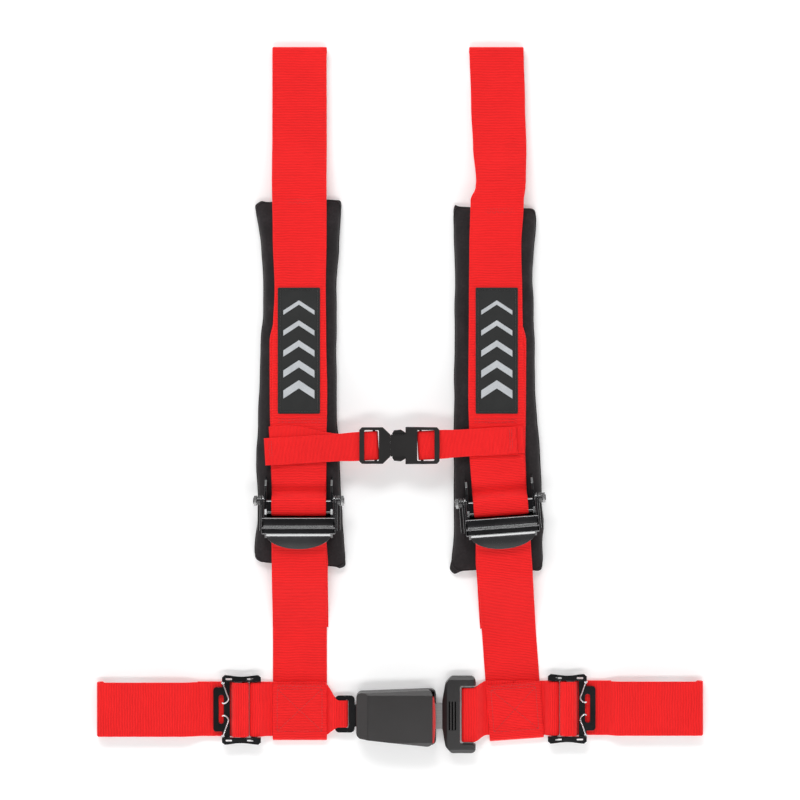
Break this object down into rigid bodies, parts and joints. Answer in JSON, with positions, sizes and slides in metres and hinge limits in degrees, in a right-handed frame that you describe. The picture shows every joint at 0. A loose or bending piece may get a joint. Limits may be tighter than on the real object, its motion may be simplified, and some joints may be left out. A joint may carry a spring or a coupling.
{
  "type": "racing harness",
  "caption": "Flat-laid buckled shoulder-and-lap harness with padded shoulder straps, lever adjusters, chest clip, push-button latch and bolt-in strap ends.",
  "frame": {"origin": "centre of the bounding box in plan, on the table under the part", "axes": "+X across the chest from the latch body to the tongue, +Y up the shoulder straps, +Z off the table toward the viewer"},
  "size_m": [0.5684, 0.661, 0.0326],
  "materials": {
    "webbing": "ribbed polyester webbing",
    "pad_suede": "matt suede-like nap",
    "pad_foam": "soft foam",
    "woven_label": "flat woven",
    "black_steel": "gloss black",
    "bright_steel": "plated",
    "dark_plastic": "fine grain",
    "red_plastic": "smooth",
    "pale_plastic": "smooth"
  },
  "bodies": {
    "left_half": {"shoulder_strap_l": "webbing", "pad_cover_l": "pad_suede", "pad_core_l": "pad_foam", "label_l": "woven_label", "adjuster_frame_l": "black_steel", "adjuster_bar_l": "black_steel", "adjuster_pins_l": "black_steel", "lower_strap_l": "webbing", "lap_inner_strap_l": "webbing", "chest_strap_l": "webbing", "clip_male": "dark_plastic", "latch_top_cover": "dark_plastic", "latch_bottom_cover": "dark_plastic", "latch_frame": "black_steel", "latch_catch": "bright_steel", "latch_rivet": "bright_steel", "latch_button_springs": "bright_steel", "latch_ejector_springs": "bright_steel"},
    "right_half": {"shoulder_strap_r": "webbing", "pad_cover_r": "pad_suede", "pad_core_r": "pad_foam", "label_r": "woven_label", "adjuster_frame_r": "black_steel", "adjuster_bar_r": "black_steel", "adjuster_pins_r": "black_steel", "lower_strap_r": "webbing", "lap_inner_strap_r": "webbing", "chest_strap_r": "webbing", "clip_female": "dark_plastic", "tongue_plate": "bright_steel", "tongue_grip": "dark_plastic"},
    "clip_prong_upper": {"clip_prong_upper": "dark_plastic"},
    "clip_prong_lower": {"clip_prong_lower": "dark_plastic"},
    "latch_button": {"latch_button": "red_plastic"},
    "latch_ejector": {"latch_ejector": "pale_plastic"},
    "lever_l": {"lever_l": "black_steel", "lever_springs_l": "black_steel"},
    "lap_adjuster_l": {"lap_frame_l": "black_steel", "lap_springs_l": "bright_steel"},
    "lock_bar_l": {"lock_bar_l": "bright_steel"},
    "lap_slide_bar_l": {"lap_slide_bar_l": "bright_steel"},
    "lap_strap_l": {"lap_strap_l": "webbing"},
    "lap_end_l": {"lap_end_l": "webbing"},
    "lap_anchor_l": {"lap_anchor_l": "black_steel"},
    "shoulder_end_l": {"shoulder_end_l": "webbing"},
    "shoulder_anchor_l": {"shoulder_anchor_l": "black_steel"},
    "lever_r": {"lever_r": "black_steel", "lever_springs_r": "black_steel"},
    "lap_adjuster_r": {"lap_frame_r": "black_steel", "lap_springs_r": "bright_steel"},
    "lock_bar_r": {"lock_bar_r": "bright_steel"},
    "lap_slide_bar_r": {"lap_slide_bar_r": "bright_steel"},
    "lap_strap_r": {"lap_strap_r": "webbing"},
    "lap_end_r": {"lap_end_r": "webbing"},
    "lap_anchor_r": {"lap_anchor_r": "black_steel"},
    "shoulder_end_r": {"shoulder_end_r": "webbing"},
    "shoulder_anchor_r": {"shoulder_anchor_r": "black_steel"}
  },
  "joints": [
    {"name": "halves_separate", "type": "slide", "parent": "left_half", "child": "right_half", "axis": [1, 0, 0], "range_m": [0, 0.045], "deforming": ["latch_catch", "clip_prong_upper", "clip_prong_lower"]},
    {"name": "latch_button_press", "type": "slide", "parent": "left_half", "child": "latch_button", "axis": [-1, 0, 0], "range_m": [0, 0.004], "stiffness_N_per_m": 400, "deforming": ["latch_button_springs"]},
    {"name": "latch_ejector_push", "type": "slide", "parent": "left_half", "child": "latch_ejector", "axis": [1, 0, 0], "range_m": [0, 0.0095], "deforming": ["latch_ejector_springs"]},
    {"name": "clip_prong_upper_squeeze", "type": "hinge", "parent": "left_half", "child": "clip_prong_upper", "pos_m": [-0.0091, -0.03725, 0.022], "axis": [0, 0, -1], "range_deg": [0, 5], "stiffness_Nm_per_rad": 0.4},
    {"name": "clip_prong_lower_squeeze", "type": "hinge", "parent": "left_half", "child": "clip_prong_lower", "pos_m": [-0.0091, -0.04825, 0.022], "axis": [0, 0, 1], "range_deg": [0, 5], "stiffness_Nm_per_rad": 0.4},
    {"name": "lever_l_lift", "type": "hinge", "parent": "left_half", "child": "lever_l", "pos_m": [-0.094, -0.09395, 0.0235], "axis": [-1, 0, 0], "range_deg": [0, 70], "stiffness_Nm_per_rad": 0.25},
    {"name": "lock_bar_l_release", "type": "slide", "parent": "left_half", "child": "lock_bar_l", "axis": [0, 1, 0], "range_m": [0, 0.00205]},
    {"name": "lap_adjuster_l_tilt", "type": "hinge", "parent": "left_half", "child": "lap_adjuster_l", "pos_m": [-0.1365, -0.29015, 0.0052], "axis": [0, 1, 0], "range_deg": [0, 12]},
    {"name": "lap_slide_bar_l_release", "type": "slide", "parent": "lap_adjuster_l", "child": "lap_slide_bar_l", "axis": [1, 0, 0], "range_m": [0, 0.003], "stiffness_N_per_m": 800},
    {"name": "lap_strap_l_level", "type": "hinge", "parent": "lap_adjuster_l", "child": "lap_strap_l", "pos_m": [-0.1515, -0.29015, 0.0072], "axis": [0, 1, 0], "range_deg": [-12.5, 0]},
    {"name": "lap_end_l_unfold", "type": "hinge", "parent": "lap_strap_l", "child": "lap_end_l", "pos_m": [-0.28, -0.29015, 0.0044], "axis": [0, 1, 0], "range_deg": [0, 180]},
    {"name": "lap_anchor_l_swing", "type": "hinge", "parent": "lap_end_l", "child": "lap_anchor_l", "pos_m": [-0.2677, -0.29015, 0.00445], "axis": [0, 1, 0], "range_deg": [0, 30]},
    {"name": "shoulder_end_l_unfold", "type": "hinge", "parent": "left_half", "child": "shoulder_end_l", "pos_m": [-0.094, 0.32635, 0.0044], "axis": [1, 0, 0], "range_deg": [0, 180]},
    {"name": "shoulder_anchor_l_swing", "type": "hinge", "parent": "shoulder_end_l", "child": "shoulder_anchor_l", "pos_m": [-0.094, 0.31405, 0.00445], "axis": [1, 0, 0], "range_deg": [0, 30]},
    {"name": "lever_r_lift", "type": "hinge", "parent": "right_half", "child": "lever_r", "pos_m": [0.09315, -0.09384, 0.0235], "axis": [-0.9973, -0.0732, 0], "range_deg": [0, 70], "stiffness_Nm_per_rad": 0.25},
    {"name": "lock_bar_r_release", "type": "slide", "parent": "right_half", "child": "lock_bar_r", "axis": [-0.0732, 0.9973, 0], "range_m": [0, 0.00205]},
    {"name": "lap_adjuster_r_tilt", "type": "hinge", "parent": "right_half", "child": "lap_adjuster_r", "pos_m": [0.1447, -0.28915, 0.0052], "axis": [0, -1, 0], "range_deg": [0, 12]},
    {"name": "lap_slide_bar_r_release", "type": "slide", "parent": "lap_adjuster_r", "child": "lap_slide_bar_r", "axis": [-1, 0, 0], "range_m": [0, 0.003], "stiffness_N_per_m": 800},
    {"name": "lap_strap_r_level", "type": "hinge", "parent": "lap_adjuster_r", "child": "lap_strap_r", "pos_m": [0.1597, -0.28915, 0.0072], "axis": [0, -1, 0], "range_deg": [-12.5, 0]},
    {"name": "lap_end_r_unfold", "type": "hinge", "parent": "lap_strap_r", "child": "lap_end_r", "pos_m": [0.28, -0.28915, 0.0044], "axis": [0, -1, 0], "range_deg": [0, 180]},
    {"name": "lap_anchor_r_swing", "type": "hinge", "parent": "lap_end_r", "child": "lap_anchor_r", "pos_m": [0.2677, -0.28915, 0.00445], "axis": [0, -1, 0], "range_deg": [0, 30]},
    {"name": "shoulder_end_r_unfold", "type": "hinge", "parent": "right_half", "child": "shoulder_end_r", "pos_m": [0.0902, 0.32635, 0.0044], "axis": [1, 0, 0], "range_deg": [0, 180]},
    {"name": "shoulder_anchor_r_swing", "type": "hinge", "parent": "shoulder_end_r", "child": "shoulder_anchor_r", "pos_m": [0.0902, 0.31405, 0.00445], "axis": [1, 0, 0], "range_deg": [0, 30]}
  ],
  "couplings": [
    {"joint": "latch_ejector_push", "follows": "halves_separate", "ratio": 0.2},
    {"joint": "clip_prong_lower_squeeze", "follows": "clip_prong_upper_squeeze", "ratio": 1},
    {"joint": "lock_bar_l_release", "follows": "lever_l_lift", "m_per_rad": 0.001637},
    {"joint": "lap_strap_l_level", "follows": "lap_adjuster_l_tilt", "ratio": -1},
    {"joint": "lock_bar_r_release", "follows": "lever_r_lift", "m_per_rad": 0.001637},
    {"joint": "lap_strap_r_level", "follows": "lap_adjuster_r_tilt", "ratio": -1}
  ]
}
